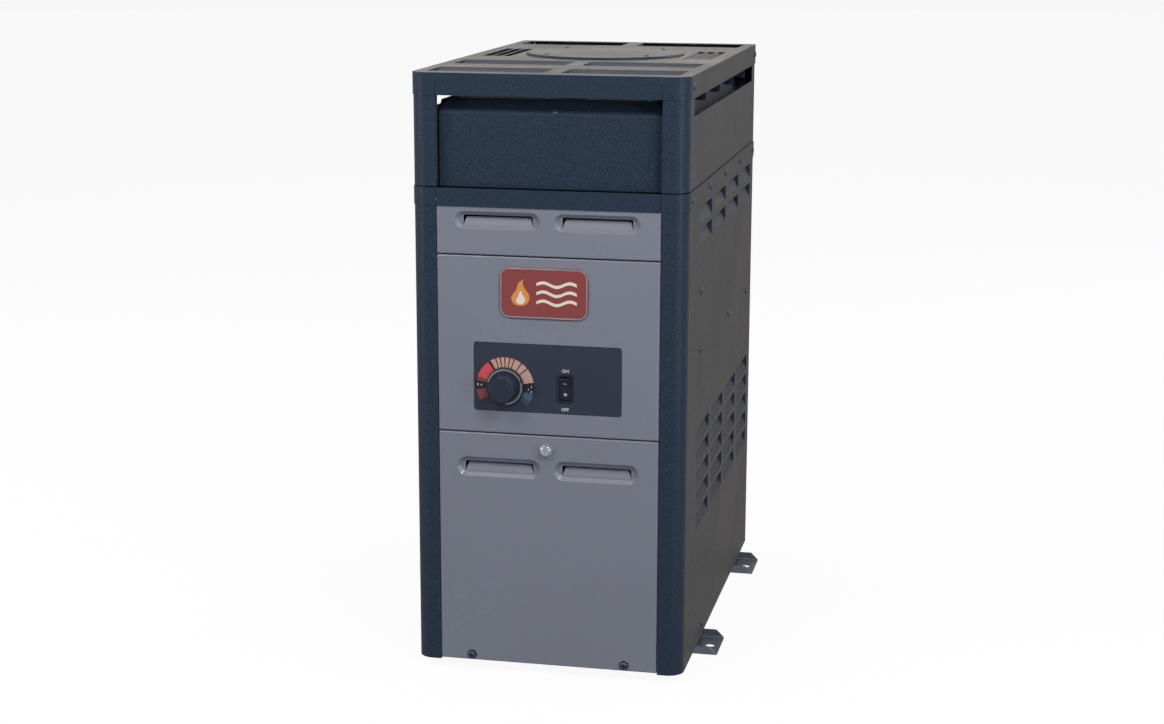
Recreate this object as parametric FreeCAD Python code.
"""Gas pool heater: a sheet-metal cabinet on two rails, with its burners, heat exchanger and controls.

Millimetres. +Z is up and the rails stand on Z = 0. The front faces -Y. The origin is the centre of
the four anchor holes in the rails. Depths are given with back(), measured from the front plane, and
heights with up(), measured from the lower edge of the cabinet's panels.
"""
import FreeCAD
import Part
import math
import os

V = FreeCAD.Vector
X_AXIS, Y_AXIS, Z_AXIS = V(1, 0, 0), V(0, 1, 0), V(0, 0, 1)

# Driving dimensions of the cabinet
CABINET_WIDTH = 381.0
CABINET_DEPTH = 660.0
CAP_TOP = 829.0
RAIL_HEIGHT = 13.0
ANCHOR_SPACING_X = 411.0
ANCHOR_SPACING_Y = 387.0
ANCHOR_RADIUS = 7.15
FRONT_TO_ANCHOR_CENTRE = 361.0

SHEET = 1.2
BAND_SHEET = 1.0
SEAM_GAP = 0.8
HALF = CABINET_WIDTH / 2
STILE_EDGE = 155.3
CORNER_RADIUS = 22.0
FOLD_RADIUS = 1.8
RETURN_DEPTH = 12.0
FRONT_GAP = 0.6

# Heights of the seams between the panels
DOOR_BOTTOM, DOOR_TOP = 2.0, 334.2
CONTROL_BOTTOM, CONTROL_TOP = 335.8, 582.2
UPPER_BOTTOM = 583.8
CABINET_TOP = 655.0
COLLAR_BOTTOM, COLLAR_TOP = 649.0, 674.0
DECK_HEIGHT = 658.0
HOOD_BOTTOM, HOOD_TOP = 675.6, 801.0
CAP_BOTTOM = 798.6
SLOT_FRONT, SLOT_REAR = 47.0, 628.0
SLOT_BOTTOM, SLOT_TOP = 773.0, 797.0

# Water, gas and heat
TUBE_PITCH, TUBE_COUNT = 45.0, 6
TUBE_RADIUS, TUBE_BORE = 11.1, 9.5
TUBE_HEIGHT = 515.0
WATER_SOCKET_RADIUS, WATER_SOCKET_LENGTH = 24.2, 35.0
WATER_PORT_X = 70.0
GAS_THREAD_RADIUS, GAS_THREAD_LENGTH = 12.2, 19.0
GAS_LINE_DEPTH, GAS_LINE_HEIGHT = 80.0, 85.0
BURNER_PITCH, BURNER_COUNT = 55.0, 5
BURNER_HEIGHT = 85.0
RUNNING_CLEARANCE = 0.06

# Controls
DIAL_X, DIAL_HEIGHT = -60.0, 401.7
ROCKER_X, ROCKER_HEIGHT, ROCKER_PIVOT_DEPTH = 24.9, 403.0, 4.0
ROCKER_TILT = 11.0
FASTENER_X, FASTENER_HEIGHT = -2.0, 315.0
GAS_KNOB_X, GAS_KNOB_HEIGHT = -35.0, 100.0

# Fasteners
SCREW_RADIUS, SCREW_LENGTH = 1.8, 8.0
SCREW_HEAD_RADIUS, SCREW_HEAD_HEIGHT = 4.8, 2.4
LOW_HEAD_RADIUS, LOW_HEAD_HEIGHT = 3.6, 1.3
SCREW_HOLE_RADIUS = 1.95


def back(depth):
    """Y of a point that lies this far behind the front plane."""
    return depth - FRONT_TO_ANCHOR_CENTRE


def up(height):
    """Z of a point this far above the lower edge of the panels."""
    return height + RAIL_HEIGHT


# ---------------------------------------------------------------- shape helpers

def box(x0, x1, y0, y1, z0, z1):
    return Part.makeBox(x1 - x0, y1 - y0, z1 - z0, V(x0, y0, z0))


def cylinder(start, axis, radius, length):
    return Part.makeCylinder(radius, length, start, axis)


def pipe(start, axis, outer, inner, length):
    return cylinder(start, axis, outer, length).cut(cylinder(start, axis, inner, length))


def space(u, v, along, w):
    """The point with coordinates (u, v) across an axis and w along it."""
    return {"X": V(w, u, v), "Y": V(u, w, v), "Z": V(u, v, w)}[along]


def corner_arc(before, corner, after, radius):
    """Start, middle and end of the arc that rounds a corner of an outline."""
    one = (before - corner).normalize()
    two = (after - corner).normalize()
    half = one.getAngle(two) / 2
    bisector = (one + two).normalize()
    run = radius / math.tan(half)
    middle = corner + bisector * (radius / math.sin(half) - radius)
    return corner + one * run, middle, corner + two * run


def outline_wire(points, radii, along="Z", w=0.0):
    """A closed wire through points (u, v), each corner rounded by its own radius."""
    flat = [V(u, v, 0) for u, v in points]
    count = len(flat)
    arcs = []
    for i, corner in enumerate(flat):
        radius = radii[i]
        if radius > 0:
            arcs.append(corner_arc(flat[i - 1], corner, flat[(i + 1) % count], radius))
        else:
            arcs.append((corner, None, corner))
    edges = []
    for i, (start, middle, end) in enumerate(arcs):
        if middle is not None:
            ends = [space(p.x, p.y, along, w) for p in (start, middle, end)]
            edges.append(Part.Arc(*ends).toShape())
        following = arcs[(i + 1) % count][0]
        if end.distanceToPoint(following) > 1e-6:
            line = [space(p.x, p.y, along, w) for p in (end, following)]
            edges.append(Part.LineSegment(*line).toShape())
    return Part.Wire(edges)


def prism(points, radii, along, low, high):
    """The outline extruded along an axis, from low to high."""
    if isinstance(radii, (int, float)):
        radii = [radii] * len(points)
    face = Part.Face(outline_wire(points, radii, along, low))
    return face.extrude({"X": X_AXIS, "Y": Y_AXIS, "Z": Z_AXIS}[along] * (high - low))


def offset_path(points, distance):
    """The open path moved sideways, to the left of its direction when distance is positive."""
    flat = [V(u, v, 0) for u, v in points]
    runs = [(b - a).normalize() for a, b in zip(flat, flat[1:])]
    normals = [V(-r.y, r.x, 0) for r in runs]
    moved = [flat[0] + normals[0] * distance]
    for i in range(1, len(flat) - 1):
        bisector = (normals[i - 1] + normals[i]).normalize()
        moved.append(flat[i] + bisector * (distance / bisector.dot(normals[i])))
    moved.append(flat[-1] + normals[-1] * distance)
    return [(p.x, p.y) for p in moved]


def folded_sheet(points, radii, thickness, along, low, high):
    """A sheet folded along a path of its outer face, its thickness to the left of the path."""
    inner_points = offset_path(points, thickness)
    inner_radii = []
    for i, radius in enumerate(radii):
        a, b, c = (V(u, v, 0) for u, v in points[i:i + 3])
        turn = (b - a).cross(c - b).z
        change = -thickness if turn * thickness > 0 else abs(thickness)
        inner_radii.append(max(radius + change, 0.0))
    outline = list(points) + inner_points[::-1]
    rounds = [0.0] + list(radii) + [0.0, 0.0] + inner_radii[::-1] + [0.0]
    return prism(outline, rounds, along, low, high)


def stand(shape, u, v, normal, origin):
    """Move a shape built in local axes so that they point along u, v and normal, at origin."""
    matrix = FreeCAD.Matrix(u.x, v.x, normal.x, origin.x,
                            u.y, v.y, normal.y, origin.y,
                            u.z, v.z, normal.z, origin.z,
                            0, 0, 0, 1)
    placed = shape.copy()
    placed.Placement = FreeCAD.Placement(matrix)
    return placed


def mirrored(shape):
    """The same piece for the other side of the cabinet."""
    return shape.mirror(V(0, 0, 0), X_AXIS)


def fused(shapes):
    first, rest = shapes[0], shapes[1:]
    return first.multiFuse(rest) if rest else first


def tube_along(points, radius, bend):
    """A round tube on straight runs joined by tangent arcs."""
    edges = []
    start = points[0]
    for i in range(1, len(points) - 1):
        arc_start, middle, arc_end = corner_arc(points[i - 1], points[i], points[i + 1], bend)
        edges.append(Part.LineSegment(start, arc_start).toShape())
        edges.append(Part.Arc(arc_start, middle, arc_end).toShape())
        start = arc_end
    edges.append(Part.LineSegment(start, points[-1]).toShape())
    path = Part.Wire(edges)
    section = Part.Wire([Part.makeCircle(radius, points[0], points[1] - points[0])])
    return path.makePipeShell([section], True, True)


# ---------------------------------------------------------------- louvers

def louver(length, height, depth, corner, sheet):
    """A pressed-in louver: the hole it needs and its blade with closed ends.

    Local axes: u along the louver, v from its flush edge to its open edge, and outward +Z.
    """
    shoulder = 0.3
    half = length / 2
    hole_points = [(-half, 0), (half, 0), (half, height), (-half, height)]
    hole = prism(hole_points, [corner, corner, 0, 0], "Z", -sheet, 0)
    wedge = [(0, 0), (0, -sheet - shoulder), (height, -depth - sheet), (height, 0)]
    body = prism(hole_points, [corner, corner, 0, 0], "Z", -depth - sheet, 0)
    body = body.common(prism(wedge, 0, "X", -half, half))
    inside = half - sheet
    hollow_points = [(-inside, sheet), (inside, sheet), (inside, height + 1), (-inside, height + 1)]
    round_inside = corner - sheet
    hollow = prism(hollow_points, [round_inside, round_inside, 0, 0], "Z", -depth - 1, 1)
    slope = (depth - shoulder) / (height - sheet)
    cavity = [(sheet, -shoulder), (height + 1, -depth - slope), (height + 1, 1), (sheet, 1)]
    hollow = hollow.common(prism(cavity, 0, "X", -half, half))
    return hole, body.cut(hollow)


def with_louvers(sheet_shape, placements, form):
    """The sheet with a louver pressed in at each placement (u, v, normal, origin)."""
    hole, blade = form
    holes = Part.makeCompound([stand(hole, *p) for p in placements])
    blades = [stand(blade, *p) for p in placements]
    return fused([sheet_shape.cut(holes)] + blades)


def stadium(length, height, w):
    """A closed wire with straight long sides and half-round ends, centred on the local origin."""
    straight, radius = (length - height) / 2, height / 2
    right, left = V(straight, 0, w), V(-straight, 0, w)
    low, high = V(0, -radius, 0), V(0, radius, 0)
    out = V(radius, 0, 0)
    return Part.Wire([
        Part.LineSegment(left + low, right + low).toShape(),
        Part.Arc(right + low, right + out, right + high).toShape(),
        Part.LineSegment(right + high, left + high).toShape(),
        Part.Arc(left + high, left - out, left + low).toShape(),
    ])


def dished_louver(length, height, dish, flap_length, flap_height, flap_depth, gap):
    """A stadium-shaped dish with a tapering flap cut in its floor and bent inward at the top.

    Returns the hole it needs and the dish, in local axes with +Z outward and v upward.
    """
    slope = 10.0
    hole = Part.Face(stadium(length, height, -SHEET)).extrude(V(0, 0, SHEET))
    rim, floor = (length, height), (length - slope, height - slope)
    outer = Part.makeLoft([stadium(*rim, -SHEET), stadium(*floor, -dish - SHEET)], True)
    outer = outer.fuse(hole)
    inner = Part.makeLoft([stadium(*rim, 0), stadium(*floor, -dish)], True)
    shell = outer.cut(inner)
    half = flap_length / 2
    low = -flap_height / 2
    corners = [(-half, low), (half, low), (half, -low), (-half, -low)]
    window = prism(corners, [0, 0, gap, gap], "Z", -dish - 2 * SHEET, 0)
    flap_top = -low - gap
    flap = [(low, -dish), (low, -dish - SHEET), (flap_top, -dish - flap_depth - SHEET),
            (flap_top, -dish - flap_depth)]
    blade = prism(flap, 0, "X", -half, half)
    foot, crest = half - 0.4, half - gap - 1.6
    tapered = [(-foot, low), (foot, low), (crest, -low), (-crest, -low)]
    blade = blade.common(prism(tapered, 0, "Z", -dish - flap_depth - 2 * SHEET, 0))
    return hole, fused([shell.cut(window), blade])


LOUVER_COLUMNS = [(108.0, 220.0), (243.0, 355.0), (378.0, 490.0), (513.0, 625.0)]
UPPER_ROWS = [587.5, 618.5]
LOWER_ROWS = [180.5 + 31.0 * row for row in range(5)]
LOUVER_HEIGHT, LOUVER_DEPTH, LOUVER_CORNER = 23.2, 9.5, 6.0


# ---------------------------------------------------------------- screws

SIDE_SCREWS = [(126, 523), (130, 438), (402, 438), (602, 438), (182, 15)]
COLLAR_SCREWS = [(depth, 661.5) for depth in (40, 193, 344, 497, 641)]
CAP_SCREWS = [(35, 814), (647, 814)]
REAR_SCREW_HEIGHTS = (40, 200, 360, 520, 640)
REAR_SCREW_X = 180.0
DISC_CENTRE_DEPTH, DISC_RADIUS, DISC_THICKNESS = 389.0, 118.5, 3.0
DISC_SCREWS = [(-75.5, 325), (75.5, 323), (-75, 464), (75.5, 463)]
BAND_OUT = HALF + BAND_SHEET
DOOR_SCREWS = [(-109.8, 10.3), (109.0, 10.4)]


def screw_sites():
    """Every painted cabinet screw: the point on the outer face, and the way its head faces."""
    sites = []
    for side in (-1, 1):
        outward = V(side, 0, 0)
        for depth, height in SIDE_SCREWS:
            sites.append((V(side * HALF, back(depth), up(height)), outward))
        for depth, height in COLLAR_SCREWS + CAP_SCREWS:
            sites.append((V(side * BAND_OUT, back(depth), up(height)), outward))
        for height in REAR_SCREW_HEIGHTS:
            sites.append((V(side * REAR_SCREW_X, back(CABINET_DEPTH), up(height)), Y_AXIS))
    for x, depth in DISC_SCREWS:
        sites.append((V(x, back(depth), up(CAP_TOP + DISC_THICKNESS)), Z_AXIS))
    return sites


def drilled(shape):
    """The sheet with a clearance hole for every cabinet screw that passes through it."""
    holes = []
    for point, outward in screw_sites():
        hole = cylinder(point - outward * SCREW_LENGTH, outward, SCREW_HOLE_RADIUS,
                        SCREW_LENGTH + 1)
        if hole.BoundBox.intersect(shape.BoundBox):
            holes.append(hole)
    return shape.cut(Part.makeCompound(holes)) if holes else shape


def pan_screw(head_radius, head_height, shank_radius, length):
    """A pan-head screw with a cross recess, its head's underside on the local origin."""
    crown = head_radius * 0.45
    profile = Part.Wire([
        Part.LineSegment(V(0, 0, -length), V(shank_radius, 0, -length)).toShape(),
        Part.LineSegment(V(shank_radius, 0, -length), V(shank_radius, 0, 0)).toShape(),
        Part.LineSegment(V(shank_radius, 0, 0), V(head_radius, 0, 0)).toShape(),
        Part.LineSegment(V(head_radius, 0, 0), V(head_radius, 0, head_height * 0.4)).toShape(),
        Part.Arc(V(head_radius, 0, head_height * 0.4), V(head_radius * 0.82, 0, head_height * 0.85),
                 V(crown, 0, head_height)).toShape(),
        Part.LineSegment(V(crown, 0, head_height), V(0, 0, head_height)).toShape(),
        Part.LineSegment(V(0, 0, head_height), V(0, 0, -length)).toShape(),
    ])
    screw = Part.Face(profile).revolve(V(0, 0, 0), Z_AXIS, 360)
    arm, slit, deep = head_radius * 0.55, head_radius * 0.11, head_height * 0.55
    for long_x, long_y in ((arm, slit), (slit, arm)):
        screw = screw.cut(box(-long_x, long_x, -long_y, long_y, head_height - deep, head_height + 1))
    return screw


def facing(outward):
    """Three axes for a piece whose local +Z faces outward."""
    u = X_AXIS if abs(outward.x) < 0.5 else Y_AXIS
    return u, outward.cross(u), outward


# ---------------------------------------------------------------- base

def base_rail(centre_y):
    """A galvanised channel, open upward, with chamfered ends and an anchor hole at each end."""
    half_length, half_web, wall = 220.5, 38.0, 1.9
    path = [(centre_y - half_web, RAIL_HEIGHT), (centre_y - half_web, 0),
            (centre_y + half_web, 0), (centre_y + half_web, RAIL_HEIGHT)]
    rail = folded_sheet(path, [3.0, 3.0], wall, "X", -half_length, half_length)
    chamfer = 11.1
    for side in (-1, 1):
        end = side * half_length
        wedge = [(end, wall), (end, RAIL_HEIGHT + 1), (end - side * (chamfer + 1), RAIL_HEIGHT + 1)]
        rail = rail.cut(prism(wedge, 0, "Y", centre_y - half_web - 1, centre_y + half_web + 1))
        hole = cylinder(V(side * ANCHOR_SPACING_X / 2, centre_y, -1), Z_AXIS, ANCHOR_RADIUS, 5)
        rail = rail.cut(hole)
    return rail


def base_pan():
    """The floor of the cabinet: a tray with air slots under the burners."""
    half, rim = HALF - SHEET - 0.1, 22.0
    path = [(-half, up(rim)), (-half, up(0)), (half, up(0)), (half, up(rim))]
    tray = folded_sheet(path, [2.0, 2.0], SHEET, "Y", back(24), back(656.6))
    tongue = box(-152, 152, back(RETURN_DEPTH + 0.4), back(24), up(0), up(SHEET))
    lip = box(-152, 152, back(RETURN_DEPTH + 0.4), back(RETURN_DEPTH + 0.4 + SHEET), up(0), up(rim))
    pan = fused([tray, tongue, lip])
    slots = []
    for row in range(6):
        for side in (-1, 1):
            middle = side * 70.0
            depth = 230.0 + 50.0 * row
            slots.append(box(middle - 35, middle + 35, back(depth - 7), back(depth + 7),
                             up(-1), up(SHEET + 1)))
    for x, height in DOOR_SCREWS:
        slots.append(cylinder(V(x, back(5), up(height)), Y_AXIS, 3.0, 15))
    return drilled(pan.cut(Part.makeCompound(slots)))


# ---------------------------------------------------------------- lower cabinet

def side_path(half, front, rear, fold_back):
    """Plan of a side sheet, from its rear flange round the front corner to the stile's edge."""
    path = [(STILE_EDGE, front), (half, front), (half, rear), (half - 18.5, rear)]
    if fold_back:
        path.insert(0, (STILE_EDGE, front + RETURN_DEPTH))
    return path


def side_panel():
    """Right-hand side of the cabinet, one sheet with the front stile folded from it."""
    path = side_path(HALF, back(0), back(CABINET_DEPTH - SHEET), True)
    sheet = folded_sheet(path, [FOLD_RADIUS, CORNER_RADIUS, 2.0], SHEET, "Z", up(0), up(CABINET_TOP))
    placements = [(Y_AXIS, Z_AXIS, X_AXIS, V(HALF, back((start + end) / 2), up(row)))
                  for start, end in LOUVER_COLUMNS for row in LOWER_ROWS + UPPER_ROWS]
    form = louver(LOUVER_COLUMNS[0][1] - LOUVER_COLUMNS[0][0], LOUVER_HEIGHT, LOUVER_DEPTH,
                  LOUVER_CORNER, SHEET)
    return drilled(with_louvers(sheet, placements, form))


def gas_entry_hole():
    return cylinder(V(-HALF - 5, back(GAS_LINE_DEPTH), up(GAS_LINE_HEIGHT)), X_AXIS, 19.0, 10)


REAR_LOUVER_X = (-105.0, 0.0, 105.0)
WIRING_X, WIRING_HEIGHT = 140.0, 360.0
DRAIN_X, DRAIN_HEIGHT = 12.0, 500.0


def rear_panel():
    """Rear sheet with the water ports', drain plug's and wiring's holes and three louver columns."""
    outer = back(CABINET_DEPTH)
    sheet = box(-187, 187, outer - SHEET, outer, up(0), up(CABINET_TOP))
    placements = [(-X_AXIS, Z_AXIS, Y_AXIS, V(x, outer, up(row)))
                  for x in REAR_LOUVER_X for row in LOWER_ROWS[:3] + UPPER_ROWS]
    panel = with_louvers(sheet, placements, louver(94, LOUVER_HEIGHT, LOUVER_DEPTH,
                                                   LOUVER_CORNER, SHEET))
    holes = [cylinder(V(side * WATER_PORT_X, outer - 5, up(TUBE_HEIGHT)), Y_AXIS, 32, 10)
             for side in (-1, 1)]
    holes.append(cylinder(V(DRAIN_X, outer - 5, up(DRAIN_HEIGHT)), Y_AXIS, 14, 10))
    holes.append(cylinder(V(WIRING_X, outer - 5, up(WIRING_HEIGHT)), Y_AXIS, 13.5, 10))
    return drilled(panel.cut(Part.makeCompound(holes)))


def front_pan(bottom, top):
    """A front panel: a face with a folded return along each of its four edges."""
    half = STILE_EDGE - FRONT_GAP
    outer = box(-half, half, back(0), back(RETURN_DEPTH), up(bottom), up(top))
    outer = outer.makeFillet(FOLD_RADIUS, [e for e in outer.Edges if on_front(e)])
    inner = box(-half + SHEET, half - SHEET, back(SHEET), back(RETURN_DEPTH + 1),
                up(bottom + SHEET), up(top - SHEET))
    return outer.cut(inner)


def on_front(edge):
    """True for an edge that lies wholly in the front plane."""
    return all(abs(v.Point.y - back(0)) < 1e-6 for v in edge.Vertexes)


FRONT_LOUVER_X = (-69.6, 68.2)


def with_front_louvers(panel, height, dish_height):
    placements = [(X_AXIS, Z_AXIS, -Y_AXIS, V(x, back(0), up(height))) for x in FRONT_LOUVER_X]
    form = dished_louver(119.0, dish_height, 5.0, 97.0, 14.0, 4.4, 2.9)
    return with_louvers(panel, placements, form)


def upper_front_panel():
    return with_front_louvers(front_pan(UPPER_BOTTOM, CABINET_TOP), 630.7, 24.8)


PLATE_LEFT, PLATE_RIGHT = -104.0, 103.3
PLATE_BOTTOM, PLATE_TOP = 366.7, 463.0


def plate_outline(grow):
    """Outline of the control plate, made larger all round."""
    left, right = PLATE_LEFT - grow, PLATE_RIGHT + grow
    low, high = up(PLATE_BOTTOM - grow), up(PLATE_TOP + grow)
    return [(left, low), (right, low), (right, high), (left, high)]


def control_front_panel():
    panel = front_pan(CONTROL_BOTTOM, CONTROL_TOP)
    return panel.cut(prism(plate_outline(0.2), 4.2, "Y", back(-1), back(5)))


def lower_door():
    """The door of the burner compartment, with a hole for its quarter-turn fastener."""
    door = with_front_louvers(front_pan(DOOR_BOTTOM, DOOR_TOP), 285.8, 27.8)
    holes = [cylinder(V(FASTENER_X, back(-1), up(FASTENER_HEIGHT)), Y_AXIS, 3.5, 5)]
    holes += [cylinder(V(x, back(-1), up(height)), Y_AXIS, 2.6, 5) for x, height in DOOR_SCREWS]
    return door.cut(Part.makeCompound(holes))


def band(bottom, top):
    """Right-hand half of a proud band: its side and rounded front corner."""
    path = side_path(BAND_OUT, back(-BAND_SHEET), back(CABINET_DEPTH + BAND_SHEET), False)
    return drilled(folded_sheet(path, [CORNER_RADIUS + BAND_SHEET, 3.0], BAND_SHEET, "Z",
                                up(bottom), up(top)))


FLUE_HALF, FLUE_FRONT, FLUE_REAR = 110.0, 221.0, 519.0


def end_strips(bottom, top):
    """The folded front and rear edges of a deck or top, which show between the side bands."""
    strips = []
    for half, depth in ((STILE_EDGE - SEAM_GAP, -BAND_SHEET), (HALF - 18.0, CABINET_DEPTH)):
        strips.append(box(-half, half, back(depth), back(depth + BAND_SHEET), up(bottom), up(top)))
    return strips


def mid_deck():
    """The deck between cabinet and hood, folded into the collar's strips and the hood's flanges."""
    edge, flange_top = HALF - SHEET - 0.1, DECK_HEIGHT + 30
    plate = box(-edge, edge, back(24), back(CABINET_DEPTH - 1), up(DECK_HEIGHT),
                up(DECK_HEIGHT + SHEET))
    flange = box(edge - SHEET, edge, back(24), back(CABINET_DEPTH - 8), up(DECK_HEIGHT),
                 up(flange_top))
    tongues = box(-STILE_EDGE + 0.3, STILE_EDGE - 0.3, back(0), back(CABINET_DEPTH),
                  up(DECK_HEIGHT), up(DECK_HEIGHT + SHEET))
    strips = end_strips(COLLAR_BOTTOM, COLLAR_TOP)
    flue = box(-FLUE_HALF - 1, FLUE_HALF + 1, back(FLUE_FRONT - 1), back(FLUE_REAR + 1),
               up(DECK_HEIGHT - 1), up(DECK_HEIGHT + 2))
    deck = fused([plate, flange, mirrored(flange), tongues] + strips)
    return drilled(deck.cut(flue))


# ---------------------------------------------------------------- hood and cap

def hood_side():
    """Right-hand side of the hood with its long exhaust slot."""
    path = side_path(HALF, back(0), back(CABINET_DEPTH - SHEET), True)
    sheet = folded_sheet(path, [FOLD_RADIUS, CORNER_RADIUS, 2.0], SHEET, "Z",
                         up(HOOD_BOTTOM), up(HOOD_TOP))
    slot = [(back(SLOT_FRONT), up(SLOT_BOTTOM)), (back(SLOT_REAR), up(SLOT_BOTTOM)),
            (back(SLOT_REAR), up(SLOT_TOP)), (back(SLOT_FRONT), up(SLOT_TOP))]
    return drilled(sheet.cut(prism(slot, 1.5, "X", HALF - 5, HALF + 5)))


def hood_rear_panel():
    outer = back(CABINET_DEPTH)
    return box(-187, 187, outer - SHEET, outer, up(HOOD_BOTTOM), up(HOOD_TOP))


DEFLECTOR_HALF, DEFLECTOR_DEPTH = 153.8, 15.0
DEFLECTOR_BOTTOM = 673.0
DEFLECTOR_FOLD, DEFLECTOR_TOP, DEFLECTOR_LEAN = 774.0, 794.0, 16.0
DEFLECTOR_SCREW_HEIGHT = 778.0


def deflector_screw_site():
    """Where the deflector's screw sits on its sloping part, and the way the screw's head faces."""
    rise = DEFLECTOR_TOP - DEFLECTOR_FOLD
    depth = DEFLECTOR_DEPTH + DEFLECTOR_LEAN * (DEFLECTOR_SCREW_HEIGHT - DEFLECTOR_FOLD) / rise
    outward = V(0, -rise, DEFLECTOR_LEAN).normalize()
    return V(6.5, back(depth), up(DEFLECTOR_SCREW_HEIGHT)), outward


def hood_front_deflector():
    """The front of the hood, set back from the stiles, its top edge sloping back under the cap."""
    face, top = back(DEFLECTOR_DEPTH), up(DEFLECTOR_TOP)
    lean = face + DEFLECTOR_LEAN
    bottom = up(DEFLECTOR_BOTTOM)
    path = [(face + 12, bottom), (face, bottom), (face, up(DEFLECTOR_FOLD)),
            (lean, top), (lean + 8, top)]
    sheet = folded_sheet(path, [2.0, 1.6, 2.0], -SHEET, "X", -DEFLECTOR_HALF, DEFLECTOR_HALF)
    clipped, outside = 14.0, DEFLECTOR_HALF + 1
    for side in (-1, 1):
        corner = [(side * outside, top - clipped), (side * outside, top + 1),
                  (side * (outside - clipped), top + 1), (side * (outside - clipped), top)]
        sheet = sheet.cut(prism(corner, 0, "Y", face - 1, lean + 9))
    point, outward = deflector_screw_site()
    return sheet.cut(cylinder(point - outward * 4, outward, SCREW_HOLE_RADIUS, 6))


def draft_diverter():
    """Right-hand inner wall of the hood: it leans inward and sheds rain that enters the slot."""
    path = [(183, up(659.4)), (183, up(690)), (158, up(790)), (146, up(790))]
    return folded_sheet(path, [2.5, 2.5], 1.0, "Y", back(44), back(640))


def slot_guard():
    """Right-hand strip of upright tabs behind the exhaust slot."""
    strip = box(166, HALF - SHEET - 0.1, back(40), back(640), up(800), up(801))
    tabs = []
    for tab in range(5):
        depth = 47.5 + 131.0 * tab
        points = [(168, up(783)), (186, up(783)), (186, up(800)), (168, up(800))]
        tabs.append(prism(points, [6.0, 1.0, 0, 0], "Y", back(depth), back(depth + 1.2)))
    return fused([strip] + tabs)


def rain_baffle():
    """A pitched shield over the flue outlet, on four straps."""
    ridge, eave = up(757), up(735)
    roof = folded_sheet([(130, eave), (0, ridge), (-130, eave)], [4.0], SHEET, "Y",
                        back(205), back(535))
    straps = []
    for side in (-1, 1):
        for depth in (208, 514):
            x = side * 120.0
            straps.append(box(x - 1.5, x + 1.5, back(depth), back(depth + 18),
                              up(DECK_HEIGHT + SHEET), up(737.6)))
    roof_space = prism([(131, eave + 0.1), (131, ridge + 9), (-131, ridge + 9), (-131, eave + 0.1),
                        (0, ridge + 0.1)], 0, "Y", back(204), back(536))
    return fused([roof] + [strap.cut(roof_space) for strap in straps])


TOP_LOUVER_X = (-93.0, 93.0)
TOP_LOUVER_LENGTH, TOP_LOUVER_WIDTH, TOP_LOUVER_DEPTH = 165.0, 72.0, 12.0
SIDE_LOUVER_WIDTH, SIDE_LOUVER_LENGTH, SIDE_LOUVER_DEPTH = 13.5, 156.0, 7.0


def top_panel():
    """The top of the cap, with its louvers and its folded front and rear strips."""
    front, rear = back(-BAND_SHEET), back(CABINET_DEPTH + BAND_SHEET)
    corner = CORNER_RADIUS + BAND_SHEET
    plate = prism([(-BAND_OUT, front), (BAND_OUT, front), (BAND_OUT, rear), (-BAND_OUT, rear)],
                  [corner, corner, 3.0, 3.0], "Z", up(CAP_TOP - SHEET), up(CAP_TOP))
    rim = [e for e in plate.Edges if all(abs(v.Z - up(CAP_TOP)) < 1e-6 for v in e.Vertexes)]
    plate = plate.makeFillet(0.9, rim)
    strips = end_strips(CAP_BOTTOM, CAP_TOP - SHEET)
    top = up(CAP_TOP)
    large = []
    for x in TOP_LOUVER_X:
        for flush in (98.0, 232.0):
            large.append((-X_AXIS, -Y_AXIS, Z_AXIS, V(x, back(flush), top)))
        large.append((X_AXIS, Y_AXIS, Z_AXIS, V(x, back(572), top)))
    small = []
    for side in (-1, 1):
        for row in range(3):
            inner = 127.5 + 15.0 * row
            small.append((V(0, -side, 0), V(side, 0, 0), Z_AXIS, V(side * inner, back(391), top)))
    panel = with_louvers(fused([plate] + strips), large,
                         louver(TOP_LOUVER_LENGTH, TOP_LOUVER_WIDTH, TOP_LOUVER_DEPTH, 3.0, SHEET))
    panel = with_louvers(panel, small, louver(SIDE_LOUVER_LENGTH, SIDE_LOUVER_WIDTH,
                                              SIDE_LOUVER_DEPTH, 2.0, SHEET))
    return drilled(panel)


def vent_cover_disc():
    disc = cylinder(V(0, back(DISC_CENTRE_DEPTH), up(CAP_TOP)), Z_AXIS, DISC_RADIUS, DISC_THICKNESS)
    rim = [e for e in disc.Edges if e.Vertexes[0].Z > up(CAP_TOP) + 1 and len(e.Vertexes) == 1]
    return drilled(disc.makeFillet(2.0, rim))


def cabinet_screws():
    screw = pan_screw(SCREW_HEAD_RADIUS, SCREW_HEAD_HEIGHT, SCREW_RADIUS, SCREW_LENGTH)
    low_screw = pan_screw(LOW_HEAD_RADIUS, LOW_HEAD_HEIGHT, SCREW_RADIUS, SCREW_LENGTH)
    placed = []
    for point, outward in screw_sites() + [deflector_screw_site()]:
        chosen = low_screw if outward.z > 0 else screw
        placed.append(stand(chosen, *facing(outward), point))
    return Part.makeCompound(placed)


def badge_plate():
    """A plain raised emblem plate on the control panel."""
    points = [(-67.0, up(498)), (57.0, up(498)), (57.0, up(569)), (-67.0, up(569))]
    plate = prism(points, 16.0, "Y", back(-1.6), back(0))
    rim = [e for e in plate.Edges if all(abs(v.Y - back(-1.6)) < 1e-6 for v in e.Vertexes)]
    return plate.makeFillet(0.7, rim)


# ---------------------------------------------------------------- controls

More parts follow.
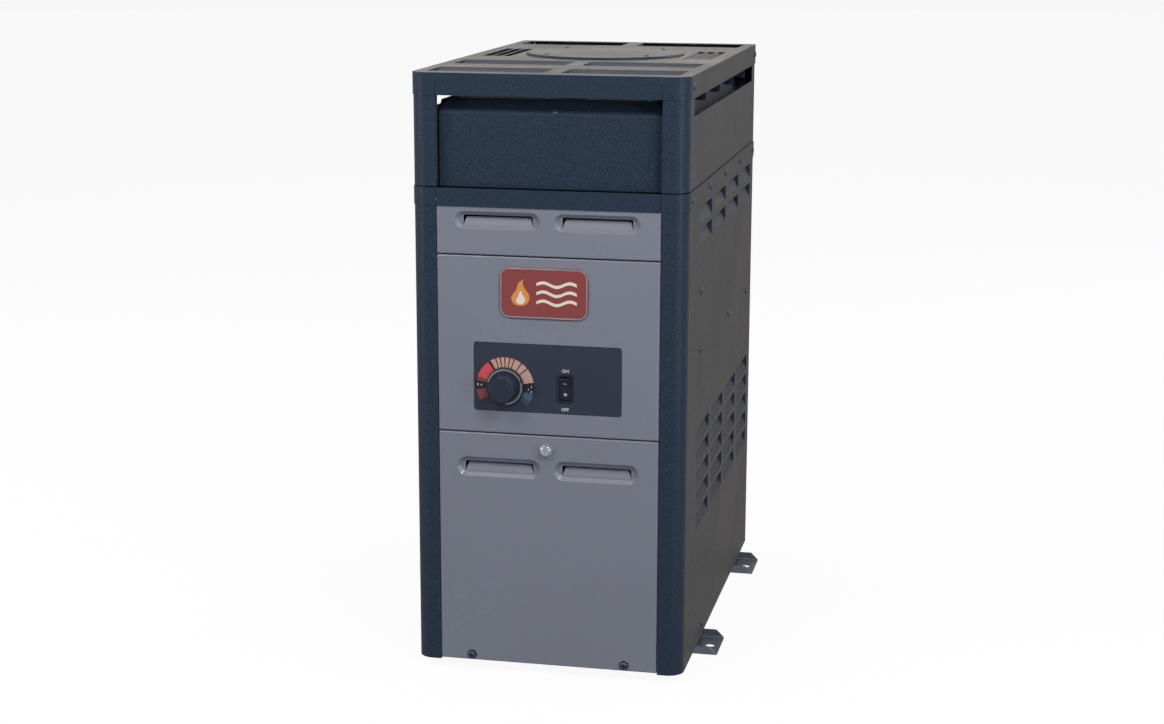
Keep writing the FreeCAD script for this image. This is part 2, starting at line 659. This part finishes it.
def control_plate():
    """The recessed plate that carries the dial and the switch."""
    face = prism(plate_outline(0), 4.0, "Y", back(0.6), back(3.4))
    flange = prism(plate_outline(5.0), 6.0, "Y", back(SHEET + 0.05), back(3.4))
    plate = fused([face, flange])
    plate = plate.cut(cylinder(V(DIAL_X, back(-1), up(DIAL_HEIGHT)), Y_AXIS, 5.2, 8))
    return plate.cut(box(ROCKER_X - 9.3, ROCKER_X + 9.3, back(-1), back(5),
                         up(ROCKER_HEIGHT - 17.7), up(ROCKER_HEIGHT + 17.7)))


SHAFT_RADIUS = 3.0


def thermostat_body():
    """The dial thermostat behind the plate, with the threaded neck that holds it there."""
    middle = V(DIAL_X, back(10), up(DIAL_HEIGHT))
    case = box(DIAL_X - 24, DIAL_X + 24, back(10), back(46), up(DIAL_HEIGHT - 20),
               up(DIAL_HEIGHT + 20))
    case = case.makeFillet(3.0, [e for e in case.Edges if e.Length < 37 and e.Length > 35])
    neck = cylinder(V(DIAL_X, back(0.9), up(DIAL_HEIGHT)), Y_AXIS, 4.9, 9.1)
    nut = prism([(DIAL_X + 8.5 * math.cos(a), up(DIAL_HEIGHT) + 8.5 * math.sin(a))
                 for a in (math.pi / 3 * k for k in range(6))], 0, "Y", back(3.5), back(6.5))
    body = fused([case, neck, nut])
    bore = cylinder(middle - Y_AXIS * 12, Y_AXIS, SHAFT_RADIUS + RUNNING_CLEARANCE, 24)
    return body.cut(bore)


def thermostat_knob():
    """A round knob with a flat that points at the setting, on a thin skirt and a shaft."""
    centre = V(DIAL_X, back(0), up(DIAL_HEIGHT))
    skirt = cylinder(centre - Y_AXIS * 3.4, Y_AXIS, 26.5, 3.0)
    skirt = skirt.makeFillet(0.9, [skirt.Edges[0], skirt.Edges[2]])
    grip = Part.makeCone(17.8, 18.8, 21.2, centre - Y_AXIS * 24.4, Y_AXIS)
    rim = [e for e in grip.Edges if e.Closed and e.Vertexes[0].Y < back(-24)]
    grip = grip.makeFillet(1.6, rim)
    flat = box(-30, 30, -30, 5, 16.4, 30)
    flat = stand(flat, V(math.sqrt(0.5), 0, math.sqrt(0.5)), Y_AXIS,
                 V(-math.sqrt(0.5), 0, math.sqrt(0.5)), centre)
    grip = grip.cut(flat)
    shaft = cylinder(centre - Y_AXIS * 4, Y_AXIS, SHAFT_RADIUS, 24)
    return fused([grip, skirt, shaft])


def rocker_pivot():
    return V(ROCKER_X, back(ROCKER_PIVOT_DEPTH), up(ROCKER_HEIGHT))


def rocker_housing():
    """The rocker switch's snap-in case, with a bezel, a well for the rocker and three blades."""
    x, height = ROCKER_X, ROCKER_HEIGHT
    bezel = prism([(x - 10.6, up(height - 19)), (x + 10.6, up(height - 19)),
                   (x + 10.6, up(height + 19)), (x - 10.6, up(height + 19))], 1.5, "Y",
                  back(-1.2), back(0.6))
    case = box(x - 9.2, x + 9.2, back(0.6), back(26), up(height - 17.6), up(height + 17.6))
    well = box(x - 8.0, x + 8.0, back(-2), back(16), up(height - 16.9), up(height + 16.9))
    pivot = rocker_pivot()
    pin_hole = cylinder(pivot - X_AXIS * 9.6, X_AXIS, 1.5 + RUNNING_CLEARANCE, 19.2)
    blades = [box(x - 3, x + 3, back(26), back(34), up(height + step - 0.4), up(height + step + 0.4))
              for step in (-11, 0, 11)]
    return fused([bezel, case]).cut(Part.makeCompound([well, pin_hole])).fuse(blades)


def power_rocker():
    """The rocker, shown pressed at its lower end, with a trunnion on each side."""
    pivot = rocker_pivot()
    profile = [(-15.4, -6.2), (0, -3.4), (15.4, -6.2), (15.4, 1.5), (5.0, 8.0), (-5.0, 8.0),
               (-15.4, 1.5)]
    points = [(y, z) for z, y in profile]
    rocker = prism(points, [0.8, 0, 0.8, 0, 0, 0, 0], "X", -7.6, 7.6)
    pins = cylinder(V(-9.1, 0, 0), X_AXIS, 1.5, 18.2)
    rocker = fused([rocker, pins])
    rocker.rotate(V(0, 0, 0), X_AXIS, ROCKER_TILT)
    rocker.translate(pivot)
    return rocker


def ignition_module():
    """The ignition control: a moulded case on two feet, with a terminal block on its left side."""
    case = box(60, 140, back(70), back(120), up(345), up(430))
    case = case.makeFillet(3.0, [e for e in case.Edges if e.Length > 49 and e.Length < 51])
    feet = [box(x, x + 14, back(70), back(120), up(331.3), up(345)) for x in (64, 122)]
    block = box(48, 60, back(80), back(110), up(375), up(415))
    return fused([case, block] + feet)


def wiring_harness():
    """Two bundled leads: from the switch to the module, and from the module down to the gas valve."""
    switch_end = V(ROCKER_X, back(34.2), up(ROCKER_HEIGHT))
    switch_lead = tube_along([switch_end, V(ROCKER_X, back(62), up(ROCKER_HEIGHT)),
                              V(ROCKER_X, back(95), up(ROCKER_HEIGHT - 10)),
                              V(47.8, back(95), up(ROCKER_HEIGHT - 10))], 2.6, 9.0)
    valve_lead = tube_along([V(47.8, back(88), up(382)), V(36, back(88), up(382)),
                             V(36, back(88), up(250)), V(-20, back(88), up(200)),
                             V(-20, back(88), up(126.2))], 2.6, 9.0)
    return Part.makeCompound([switch_lead, valve_lead])


def wiring_bushing():
    """The bushing that a supply cable enters through, in the rear panel."""
    rear = back(CABINET_DEPTH)
    centre = V(WIRING_X, rear, up(WIRING_HEIGHT))
    flange = cylinder(centre, Y_AXIS, 17.0, 3.0)
    body = cylinder(centre - Y_AXIS * 12, Y_AXIS, 13.3, 14)
    nut = prism([(WIRING_X + 18 * math.cos(a), up(WIRING_HEIGHT) + 18 * math.sin(a))
                 for a in (math.pi / 3 * k for k in range(6))], 1.0, "Y", rear - 7.2, rear - SHEET)
    bore = cylinder(centre - Y_AXIS * 13, Y_AXIS, 11.0, 20)
    return fused([flange, body, nut]).cut(bore)


# ---------------------------------------------------------------- inner sheets and door hardware

def burner_x():
    middle = (BURNER_COUNT - 1) / 2
    return [BURNER_PITCH * (i - middle) for i in range(BURNER_COUNT)]


def tube_x():
    middle = (TUBE_COUNT - 1) / 2
    return [TUBE_PITCH * (i - middle) for i in range(TUBE_COUNT)]


PILOT_X, PILOT_HEIGHT, PILOT_TUBE_HEIGHT = -27.5, 70.0, 100.0


def inner_front_wall():
    """The wall behind the burner and control compartments, pierced for burners and water tubes."""
    wall = box(-178, 178, back(146), back(147.2), up(SHEET + 0.1), up(560))
    holes = [cylinder(V(x, back(140), up(BURNER_HEIGHT)), Y_AXIS, 22.5, 10) for x in burner_x()]
    holes += [cylinder(V(x, back(140), up(TUBE_HEIGHT)), Y_AXIS, 12.5, 10) for x in tube_x()]
    holes.append(cylinder(V(PILOT_X, back(140), up(PILOT_TUBE_HEIGHT)), Y_AXIS, 4.0, 10))
    return wall.cut(Part.makeCompound(holes))


def control_shelf():
    """The shelf between the burner compartment and the controls, with a hole for the leads."""
    shelf = box(-187, 187, back(24), back(145.9), up(330), up(331.2))
    return shelf.cut(cylinder(V(36, back(88), up(325)), Z_AXIS, 9.0, 10))


def door_fastener():
    """A quarter-turn stud: slotted head, shank and cross pin."""
    centre = V(FASTENER_X, back(0), up(FASTENER_HEIGHT))
    flange = cylinder(centre - Y_AXIS * 1.8, Y_AXIS, 8.6, 1.6)
    head = cylinder(centre - Y_AXIS * 7.6, Y_AXIS, 7.3, 5.9)
    rim = [e for e in head.Edges if e.Closed and e.Vertexes[0].Y < back(-7)]
    head = head.makeFillet(1.8, rim)
    slot = box(FASTENER_X - 1.15, FASTENER_X + 1.15, back(-8.6), back(-4.6),
               up(FASTENER_HEIGHT - 9), up(FASTENER_HEIGHT + 9))
    shank = cylinder(centre - Y_AXIS * 2, Y_AXIS, 3.0, 22)
    pin = cylinder(V(FASTENER_X - 7.5, back(17), up(FASTENER_HEIGHT)), X_AXIS, 1.3, 15)
    return fused([head.cut(slot), flange, shank, pin])


def fastener_receptacle():
    """The bracket that the quarter-turn stud locks behind, hung from the control shelf."""
    x, height = FASTENER_X, FASTENER_HEIGHT
    upright = box(x - 20, x + 20, back(12.6), back(14.2), up(height - 17), up(329.9))
    tongue = box(x - 20, x + 20, back(12.6), back(50), up(328.3), up(329.9))
    hole = cylinder(V(x, back(10), up(height)), Y_AXIS, 9.2, 10)
    return fused([upright, tongue]).cut(hole)


def door_screws():
    """Two dark screws with washers at the foot of the door."""
    screw = pan_screw(5.0, 3.0, 2.2, 16.0)
    placed = []
    for x, height in DOOR_SCREWS:
        site = V(x, back(0), up(height))
        washer = pipe(site - Y_AXIS * 1.2, Y_AXIS, 6.5, 2.3, 1.2)
        placed.append(stand(screw, *facing(-Y_AXIS), site - Y_AXIS * 1.2))
        placed.append(washer)
    return Part.makeCompound(placed)


# ---------------------------------------------------------------- burners and gas train

def burner_tray():
    """The channel that carries the burners."""
    path = [(-150, up(105)), (-150, up(52)), (150, up(52)), (150, up(105))]
    return folded_sheet(path, [3.0, 3.0], 1.5, "Y", back(150), back(590))


def burner_tubes():
    """Tubular burners: a flared mouth, a hollow barrel and a row of ports along the top."""
    tubes = []
    for x in burner_x():
        mouth = V(x, back(148), up(BURNER_HEIGHT))
        barrel_start = mouth + Y_AXIS * 14
        outer = fused([Part.makeCone(20, 14, 14, mouth, Y_AXIS),
                       cylinder(barrel_start, Y_AXIS, 14, 400)])
        inner = fused([Part.makeCone(18.8, 12.8, 14, mouth, Y_AXIS),
                       cylinder(barrel_start, Y_AXIS, 12.8, 398)])
        ports = [box(x - 6, x + 6, back(190 + 16 * k), back(193 + 16 * k), up(BURNER_HEIGHT + 5),
                     up(BURNER_HEIGHT + 16)) for k in range(22)]
        tubes.append(outer.cut(inner).cut(Part.makeCompound(ports)))
    return Part.makeCompound(tubes)


def gas_manifold():
    """The pipe that feeds the burners, with a spud for each and a nipple from the valve."""
    line = up(BURNER_HEIGHT)
    main = cylinder(V(-132, back(126), line), X_AXIS, 10.5, 264)
    spuds = [cylinder(V(x, back(126), line), Y_AXIS, 4.5, 18) for x in burner_x()]
    nipple = cylinder(V(GAS_KNOB_X, back(112), line), Y_AXIS, 8.5, 14)
    hexes = [prism([(x + 7.5 * math.cos(a), line + 7.5 * math.sin(a))
                    for a in (math.pi / 3 * k for k in range(6))], 0, "Y", back(134), back(140))
             for x in burner_x()]
    return fused([main, nipple] + spuds + hexes)


def pilot_assembly():
    """The pilot burner and its sensor on a bracket that stands on the burner tray."""
    x, height = PILOT_X, PILOT_HEIGHT
    bracket = box(x - 5, x + 5, back(168), back(170), up(53.6), up(height + 22))
    burner = cylinder(V(x, back(173), up(height)), Z_AXIS, 4.0, 34)
    arm = box(x - 4, x + 4, back(170), back(176), up(height + 2), up(height + 8))
    sensor = cylinder(V(x, back(181), up(height - 2)), Z_AXIS, 1.8, 36)
    clip = box(x - 2, x + 2, back(175), back(181), up(height + 3), up(height + 7))
    return fused([bracket, burner, arm, sensor, clip])


def pilot_tube():
    """The small tube from the gas valve to the pilot burner."""
    return cylinder(V(PILOT_X, back(112.1), up(PILOT_TUBE_HEIGHT)), Y_AXIS, 2.0, 56.8)


def gas_valve_body():
    """The combination gas valve: a cast body with a round regulator cap and the knob's neck."""
    body = box(-72, 2, back(50), back(112), up(58), up(118))
    body = body.makeFillet(5.0, [e for e in body.Edges if e.Length > 61 and e.Length < 63])
    boss = cylinder(V(-84, back(GAS_LINE_DEPTH), up(GAS_LINE_HEIGHT)), X_AXIS, 18.0, 14)
    cap = cylinder(V(-12, back(80), up(117)), Z_AXIS, 13.0, 9)
    face = V(GAS_KNOB_X, back(42), up(GAS_KNOB_HEIGHT))
    neck = cylinder(face, Y_AXIS, 9.0, 10)
    bore = cylinder(face - Y_AXIS, Y_AXIS, SHAFT_RADIUS + RUNNING_CLEARANCE, 29)
    return fused([body, boss, cap, neck]).cut(bore)


def gas_valve_stem():
    start = V(GAS_KNOB_X, back(22), up(GAS_KNOB_HEIGHT))
    return cylinder(start, Y_AXIS, SHAFT_RADIUS, 42)


def gas_valve_knob():
    """The valve's knob: a fluted round grip with a raised pointer bar."""
    centre = V(GAS_KNOB_X, back(18), up(GAS_KNOB_HEIGHT))
    grip = cylinder(centre, Y_AXIS, 16.0, 16)
    flutes = []
    for k in range(12):
        angle = math.pi / 6 * (k + 0.5)
        flutes.append(cylinder(centre + V(17.6 * math.cos(angle), -1, 17.6 * math.sin(angle)),
                               Y_AXIS, 2.6, 18))
    bar = box(GAS_KNOB_X - 2.5, GAS_KNOB_X + 2.5, back(15), back(19), up(GAS_KNOB_HEIGHT - 12),
              up(GAS_KNOB_HEIGHT + 14))
    bore = cylinder(centre + Y_AXIS * 4, Y_AXIS, SHAFT_RADIUS + RUNNING_CLEARANCE, 14)
    return fused([grip.cut(Part.makeCompound(flutes)), bar]).cut(bore)


def gas_inlet_pipe():
    """The gas line from the valve to a threaded coupling in the left side panel."""
    start = V(-196.5, back(GAS_LINE_DEPTH), up(GAS_LINE_HEIGHT))
    coupling = cylinder(start, X_AXIS, 17.5, 36)
    line = cylinder(start, X_AXIS, 13.3, -84.1 + 196.5)
    thread = cylinder(start, X_AXIS, GAS_THREAD_RADIUS, GAS_THREAD_LENGTH)
    bore = cylinder(start, X_AXIS, 10.4, 120)
    return fused([coupling, line]).cut(fused([thread, bore]))


# ---------------------------------------------------------------- chamber and heat exchanger

def chamber_side_walls():
    walls = [box(x, x + 22, back(150), back(590), up(106), up(547)) for x in (-160, 138)]
    return Part.makeCompound(walls)


def chamber_end_walls():
    walls = [box(-137.9, 137.9, back(depth), back(depth + 22), up(106), up(484))
             for depth in (150, 568)]
    return Part.makeCompound(walls)


def exchanger_tubes():
    start, end = 130.0, 610.0
    return Part.makeCompound([
        pipe(V(x, back(start), up(TUBE_HEIGHT)), Y_AXIS, TUBE_RADIUS, TUBE_BORE, end - start)
        for x in tube_x()])


def exchanger_fins():
    """A sleeve of round fins on each water tube."""
    sleeve_radius, fin_radius, fin_thickness, pitch = 12.4, 20.5, 1.0, 10.5
    start, count = 182.0, 36
    stacks = []
    for x in tube_x():
        points = [(TUBE_RADIUS + 0.02, 0)]
        for fin in range(count):
            root = fin * pitch
            points += [(fin_radius, root), (fin_radius, root + fin_thickness),
                       (sleeve_radius, root + fin_thickness), (sleeve_radius, root + pitch)]
        points[-1] = (sleeve_radius, (count - 1) * pitch + fin_thickness + 2)
        points.append((TUBE_RADIUS + 0.02, points[-1][1]))
        corners = [V(x + r, back(start) + y, up(TUBE_HEIGHT)) for r, y in points]
        profile = Part.Face(Part.makePolygon(corners + corners[:1]))
        stacks.append(profile.revolve(V(x, back(start), up(TUBE_HEIGHT)), Y_AXIS, 360))
    return Part.makeCompound(stacks)


def exchanger_baffles():
    """Bent strips over the gaps between the finned tubes, which keep the hot gas on the fins."""
    strips = []
    middles = tube_x()
    for left, right in zip(middles, middles[1:]):
        x = (left + right) / 2
        path = [(x + 13, up(541)), (x, up(533)), (x - 13, up(541))]
        strips.append(folded_sheet(path, [2.0], 1.0, "Y", back(180), back(566)))
    return Part.makeCompound(strips)


HEADER_HALF = 140.0
HEADER_LOW, HEADER_HIGH = 486.0, 546.0


def header_block(front, rear, wall_depth, faces_rear):
    """A hollow header with a socket for each water tube in the wall that faces the exchanger."""
    block = box(-HEADER_HALF, HEADER_HALF, back(front), back(rear), up(HEADER_LOW), up(HEADER_HIGH))
    edges = [e for e in block.Edges if abs(e.Length - (rear - front)) < 1e-6]
    block = block.makeFillet(8.0, edges)
    near, far = (front + 8, rear - wall_depth) if faces_rear else (front + wall_depth, rear - 8)
    cavity = box(-HEADER_HALF + 8, HEADER_HALF - 8, back(near), back(far),
                 up(HEADER_LOW + 8), up(HEADER_HIGH - 8))
    return block, cavity


def tube_sockets(depth, length):
    return [cylinder(V(x, back(depth), up(TUBE_HEIGHT)), Y_AXIS, TUBE_RADIUS + 0.05, length)
            for x in tube_x()]


CAPILLARY_X = -100.0
SWITCH_X = 70.0


def return_header():
    """The front header, which turns the water round, with wells for the bulb and the switch."""
    block, cavity = header_block(98, 142, 14, True)
    wells = [cylinder(V(CAPILLARY_X, back(97), up(TUBE_HEIGHT)), Y_AXIS, 4.1, 10),
             cylinder(V(SWITCH_X, back(97), up(TUBE_HEIGHT)), Y_AXIS, 5.0, 10)]
    return block.cut(Part.makeCompound([cavity] + wells + tube_sockets(127, 16)))


BYPASS_DEPTH = 626.0
BYPASS_HOLE, BYPASS_DISC, BYPASS_STEM = 11.0, 13.0, 3.0
PARTITION_HALF = 3.0
GUIDE_X = -38.0


def water_header():
    """The rear header: inlet and outlet sockets, a partition with a bypass hole and a stem guide."""
    block, cavity = header_block(598, 650, 14, False)
    low, high = up(HEADER_LOW + 8), up(HEADER_HIGH - 8)
    partition = box(-PARTITION_HALF, PARTITION_HALF, back(612), back(642), low, high)
    guide = box(GUIDE_X, GUIDE_X + 4, back(612), back(642), up(TUBE_HEIGHT - 9),
                up(TUBE_HEIGHT + 9))
    socket_end = 706.0
    ports = []
    bores = []
    for side in (-1, 1):
        start = V(side * WATER_PORT_X, back(648), up(TUBE_HEIGHT))
        ports.append(cylinder(start, Y_AXIS, 30.0, socket_end - 648))
        bores.append(cylinder(start - Y_AXIS * 8, Y_AXIS, 20.0, socket_end - 639))
        mouth = V(side * WATER_PORT_X, back(socket_end - WATER_SOCKET_LENGTH), up(TUBE_HEIGHT))
        bores.append(cylinder(mouth, Y_AXIS, WATER_SOCKET_RADIUS, WATER_SOCKET_LENGTH + 1))
    bypass = cylinder(V(-PARTITION_HALF - 1, back(BYPASS_DEPTH), up(TUBE_HEIGHT)), X_AXIS,
                      BYPASS_HOLE, 8)
    stem = cylinder(V(GUIDE_X - 1, back(BYPASS_DEPTH), up(TUBE_HEIGHT)), X_AXIS,
                    BYPASS_STEM + RUNNING_CLEARANCE, 6)
    drain = cylinder(V(DRAIN_X, back(640), up(DRAIN_HEIGHT)), Y_AXIS, 6.1, 20)
    hollow = cavity.cut(fused([partition, guide]))
    header = fused([block] + ports).cut(hollow)
    small_bores = [bypass, stem, drain] + tube_sockets(597, 16)
    return header.cut(Part.makeCompound(bores)).cut(Part.makeCompound(small_bores))


def bypass_poppet():
    """The spring-loaded disc that closes the bypass hole, on its guided stem."""
    seat = -PARTITION_HALF - 0.2
    start = V(seat - 3, back(BYPASS_DEPTH), up(TUBE_HEIGHT))
    disc = cylinder(start, X_AXIS, BYPASS_DISC, 3)
    stem = cylinder(start - X_AXIS * 40, X_AXIS, BYPASS_STEM, 41)
    return fused([disc, stem])


def bypass_spring():
    """The coil spring between the stem guide and the disc."""
    wire, coil = 0.9, 7.0
    start, end = GUIDE_X + 4 + wire + 0.1, -PARTITION_HALF - 3.2 - wire - 0.1
    turns = 4.5
    helix = Part.makeHelix((end - start) / turns, end - start, coil)
    helix.rotate(V(0, 0, 0), Y_AXIS, 90)
    helix.translate(V(start, back(BYPASS_DEPTH), up(TUBE_HEIGHT)))
    edge = helix.Edges[0]
    begin = edge.valueAt(edge.FirstParameter)
    section = Part.Wire([Part.makeCircle(wire, begin, edge.tangentAt(edge.FirstParameter))])
    return Part.Wire(helix.Edges).makePipeShell([section], True, True)


def drain_plug():
    """The winged plug at the rear that drains the header."""
    x, height = DRAIN_X, up(DRAIN_HEIGHT)
    shank = cylinder(V(x, back(643), height), Y_AXIS, 6.0, 22)
    collar = cylinder(V(x, back(661), height), Y_AXIS, 9.0, 6)
    wing = box(x - 11, x + 11, back(666), back(678), height - 2, height + 2)
    return fused([shank, collar, wing])


def thermostat_capillary():
    """The sensing bulb in the front header and the fine tube that joins it to the thermostat."""
    bulb = cylinder(V(CAPILLARY_X, back(66), up(TUBE_HEIGHT)), Y_AXIS, 4.0, 40)
    route = [V(DIAL_X, back(46.2), up(412)), V(DIAL_X, back(56), up(412)),
             V(DIAL_X, back(56), up(470)), V(CAPILLARY_X, back(56), up(TUBE_HEIGHT)),
             V(CAPILLARY_X, back(67), up(TUBE_HEIGHT))]
    return fused([bulb, tube_along(route, 1.1, 5.0)])


def pressure_switch():
    """The water pressure switch on the front header."""
    centre = V(SWITCH_X, back(98), up(TUBE_HEIGHT))
    stem = cylinder(centre - Y_AXIS * 14, Y_AXIS, 4.9, 22)
    nut = prism([(SWITCH_X + 9 * math.cos(a), centre.z + 9 * math.sin(a))
                 for a in (math.pi / 3 * k for k in range(6))], 0, "Y", back(86), back(92))
    drum = cylinder(centre - Y_AXIS * 36, Y_AXIS, 16.0, 22)
    blades = [box(SWITCH_X + s * 6 - 3, SWITCH_X + s * 6 + 3, back(54), back(63),
                  centre.z - 0.4, centre.z + 0.4) for s in (-1, 1)]
    return fused([stem, nut, drum] + blades)


def flue_collector():
    """The tapered hood over the exchanger, rising through the deck as a rectangular duct."""
    def rectangle(half, front, rear, height):
        corners = [V(-half, back(front), up(height)), V(half, back(front), up(height)),
                   V(half, back(rear), up(height)), V(-half, back(rear), up(height))]
        return Part.makePolygon(corners + corners[:1])

    def flue(shrink):
        wide = rectangle(158 - shrink, 152 + shrink, 588 - shrink, 547.2)
        narrow = rectangle(FLUE_HALF - shrink, FLUE_FRONT + shrink, FLUE_REAR - shrink, 640)
        duct = box(-FLUE_HALF + shrink, FLUE_HALF - shrink, back(FLUE_FRONT + shrink),
                   back(FLUE_REAR - shrink), up(640), up(690))
        return Part.makeLoft([wide, narrow], True, True).fuse(duct)

    return flue(0).cut(flue(SHEET))


# ---------------------------------------------------------------- assembly

def build():
    """Every node of the heater by name."""
    side = side_panel()
    hood = hood_side()
    collar = band(COLLAR_BOTTOM, COLLAR_TOP)
    cap = band(CAP_BOTTOM, CAP_TOP - SHEET)
    diverter = draft_diverter()
    guard = slot_guard()
    half_y = ANCHOR_SPACING_Y / 2
    return {
        "base_rail_front": base_rail(-half_y),
        "base_rail_rear": base_rail(half_y),
        "base_pan": base_pan(),
        "side_panel_right": side,
        "side_panel_left": mirrored(side).cut(gas_entry_hole()),
        "rear_panel": rear_panel(),
        "upper_front_panel": upper_front_panel(),
        "control_front_panel": control_front_panel(),
        "lower_door": lower_door(),
        "collar_right": collar,
        "collar_left": mirrored(collar),
        "mid_deck": mid_deck(),
        "hood_side_right": hood,
        "hood_side_left": mirrored(hood),
        "hood_rear_panel": hood_rear_panel(),
        "hood_front_deflector": hood_front_deflector(),
        "draft_diverters": Part.makeCompound([diverter, mirrored(diverter)]),
        "slot_guards": Part.makeCompound([guard, mirrored(guard)]),
        "rain_baffle": rain_baffle(),
        "top_panel": top_panel(),
        "cap_side_right": cap,
        "cap_side_left": mirrored(cap),
        "vent_cover_disc": vent_cover_disc(),
        "cabinet_screws": cabinet_screws(),
        "badge_plate": badge_plate(),
        "control_plate": control_plate(),
        "thermostat_body": thermostat_body(),
        "thermostat_knob": thermostat_knob(),
        "thermostat_capillary": thermostat_capillary(),
        "rocker_housing": rocker_housing(),
        "power_rocker": power_rocker(),
        "ignition_module": ignition_module(),
        "wiring_harness": wiring_harness(),
        "wiring_bushing": wiring_bushing(),
        "inner_front_wall": inner_front_wall(),
        "control_shelf": control_shelf(),
        "door_fastener": door_fastener(),
        "fastener_receptacle": fastener_receptacle(),
        "door_screws": door_screws(),
        "burner_tray": burner_tray(),
        "burner_tubes": burner_tubes(),
        "gas_manifold": gas_manifold(),
        "pilot_assembly": pilot_assembly(),
        "pilot_tube": pilot_tube(),
        "gas_valve_body": gas_valve_body(),
        "gas_valve_stem": gas_valve_stem(),
        "gas_valve_knob": gas_valve_knob(),
        "gas_inlet_pipe": gas_inlet_pipe(),
        "chamber_side_walls": chamber_side_walls(),
        "chamber_end_walls": chamber_end_walls(),
        "exchanger_tubes": exchanger_tubes(),
        "exchanger_fins": exchanger_fins(),
        "exchanger_baffles": exchanger_baffles(),
        "return_header": return_header(),
        "water_header": water_header(),
        "bypass_poppet": bypass_poppet(),
        "bypass_spring": bypass_spring(),
        "drain_plug": drain_plug(),
        "pressure_switch": pressure_switch(),
        "flue_collector": flue_collector(),
    }


def main():
    os.makedirs("parts", exist_ok=True)
    for name, shape in build().items():
        shape.exportStep(f"parts/{name}.step")


main()
